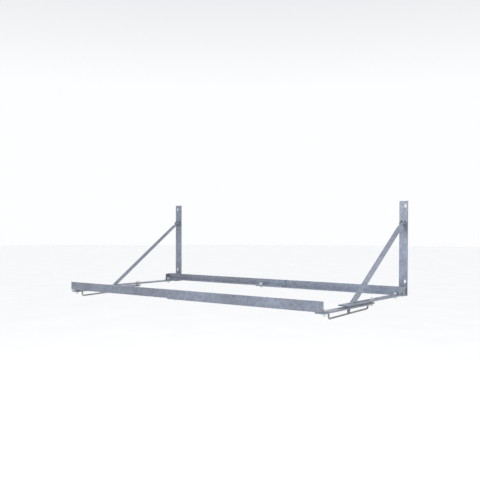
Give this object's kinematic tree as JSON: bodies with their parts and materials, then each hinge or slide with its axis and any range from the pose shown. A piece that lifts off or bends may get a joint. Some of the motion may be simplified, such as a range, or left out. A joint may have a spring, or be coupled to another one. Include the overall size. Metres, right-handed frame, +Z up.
{
  "type": "wall-mounted tyre storage rack",
  "caption": "Folding wall rack for car tyres: two braced brackets carry a front and a rear angle rail, adjustable in width and depth.",
  "frame": {"origin": "on the wall plane, midway between the two brackets, level with the bottom of the wall uprights", "axes": "+X along the rails towards the right bracket as seen from in front, +Y into the wall, +Z up; the rack stands out along -Y"},
  "size_m": [1.2754, 0.69, 0.4192],
  "materials": {
    "powder_coat": "silver-grey mottled powder coat",
    "zinc_plate": "bright zinc plate"
  },
  "bodies": {
    "wall_right": {"upright_right": "powder_coat", "arm_pivot_pin_right": "powder_coat", "arm_pivot_collar_right": "powder_coat", "brace_pin_right": "powder_coat", "brace_collar_right": "powder_coat"},
    "arm_right": {"rear_bar_right": "powder_coat", "arm_pivot_bush_right": "zinc_plate", "rear_rail_right": "powder_coat", "rear_rail_bolt_right": "zinc_plate", "rear_rail_nut_right": "zinc_plate", "rear_width_bolt": "zinc_plate", "rear_width_washer": "zinc_plate", "rear_width_nut": "zinc_plate"},
    "front_right": {"front_bar_right": "powder_coat", "guide_rod_right": "zinc_plate", "depth_bolt_right": "zinc_plate", "depth_washer_right": "zinc_plate", "depth_spacer_right": "zinc_plate", "depth_nut_right": "zinc_plate", "front_rail_right": "powder_coat", "front_rail_bolt_right": "zinc_plate", "front_rail_nut_right": "zinc_plate", "front_width_bolt": "zinc_plate", "front_width_washer": "zinc_plate", "front_width_nut": "zinc_plate"},
    "brace_right": {"brace_right": "powder_coat"},
    "wall_left": {"upright_left": "powder_coat", "arm_pivot_pin_left": "powder_coat", "arm_pivot_collar_left": "powder_coat", "brace_pin_left": "powder_coat", "brace_collar_left": "powder_coat"},
    "arm_left": {"rear_bar_left": "powder_coat", "arm_pivot_bush_left": "zinc_plate", "rear_rail_left": "powder_coat", "rear_rail_bolt_left": "zinc_plate", "rear_rail_nut_left": "zinc_plate", "rear_rail_spacer_left": "zinc_plate"},
    "front_left": {"front_bar_left": "powder_coat", "guide_rod_left": "zinc_plate", "depth_bolt_left": "zinc_plate", "depth_washer_left": "zinc_plate", "depth_spacer_left": "zinc_plate", "depth_nut_left": "zinc_plate", "front_rail_left": "powder_coat", "front_rail_bolt_left": "zinc_plate", "front_rail_nut_left": "zinc_plate", "front_rail_spacer_left": "zinc_plate"},
    "brace_left": {"brace_left": "powder_coat"}
  },
  "joints": [
    {"name": "width_slide", "type": "slide", "parent": "wall_right", "child": "wall_left", "axis": [1, 0, 0], "range_m": [0, 0.457]},
    {"name": "fold_right", "type": "hinge", "parent": "wall_right", "child": "arm_right", "pos_m": [0.617, -0.044, 0.012], "axis": [1, 0, 0], "range_deg": [0, 90]},
    {"name": "depth_right", "type": "slide", "parent": "arm_right", "child": "front_right", "axis": [0, 1, 0], "range_m": [-0.1, 0.05]},
    {"name": "brace_swing_right", "type": "hinge", "parent": "wall_right", "child": "brace_right", "pos_m": [0.617, -0.017, 0.296], "axis": [1, 0, 0], "range_deg": [0, 44]},
    {"name": "fold_left", "type": "hinge", "parent": "wall_left", "child": "arm_left", "pos_m": [-0.617, -0.044, 0.012], "axis": [1, 0, 0], "range_deg": [0, 90]},
    {"name": "depth_left", "type": "slide", "parent": "arm_left", "child": "front_left", "axis": [0, 1, 0], "range_m": [-0.1, 0.05]},
    {"name": "brace_swing_left", "type": "hinge", "parent": "wall_left", "child": "brace_left", "pos_m": [-0.617, -0.017, 0.296], "axis": [1, 0, 0], "range_deg": [0, 44]}
  ],
  "couplings": [
    {"joint": "fold_left", "follows": "fold_right", "ratio": 1},
    {"joint": "brace_swing_right", "follows": "fold_right", "ratio": 0.4867},
    {"joint": "brace_swing_left", "follows": "fold_right", "ratio": 0.4867},
    {"joint": "depth_left", "follows": "depth_right", "ratio": 1}
  ]
}
